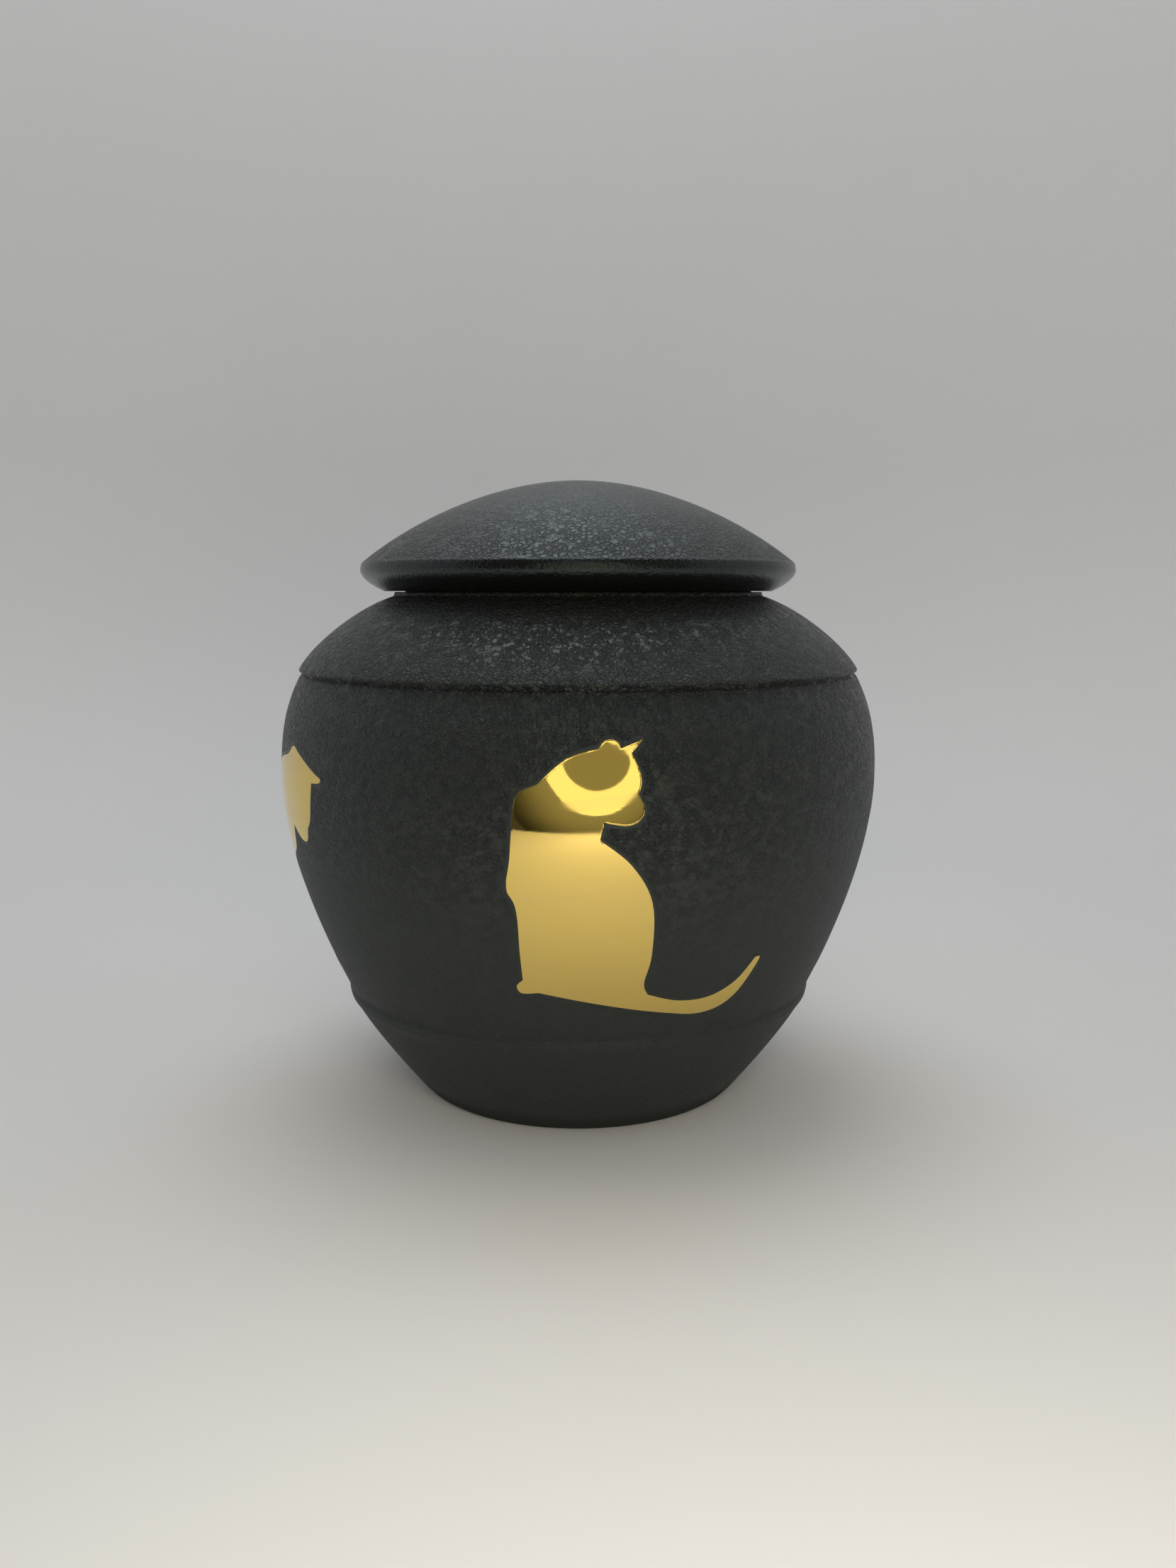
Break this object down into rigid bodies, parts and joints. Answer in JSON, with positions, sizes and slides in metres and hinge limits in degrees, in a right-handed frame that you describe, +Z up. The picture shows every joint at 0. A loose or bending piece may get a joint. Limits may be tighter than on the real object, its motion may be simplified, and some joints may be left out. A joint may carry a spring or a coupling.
{
  "type": "cremation urn",
  "caption": "Round-bellied metal cremation urn with a lift-off domed lid, a dark crackle coat and bare brass cat figures around its belly.",
  "frame": {"origin": "centre of the flat underside, on the surface that the urn stands on", "axes": "+Z up along the turned axis; -Y is the front, where the seated cat shows; +X is to the right as seen from the front"},
  "size_m": [0.142, 0.142, 0.1463],
  "materials": {
    "slate_coat": "dark slate crackle powder coat on brass",
    "bare_brass": "bare polished brass with fine brush marks, where the coat is left off in the shape of cats"
  },
  "bodies": {
    "root": {"urn_body": "slate_coat", "urn_lid": "slate_coat"}
  },
  "joints": []
}
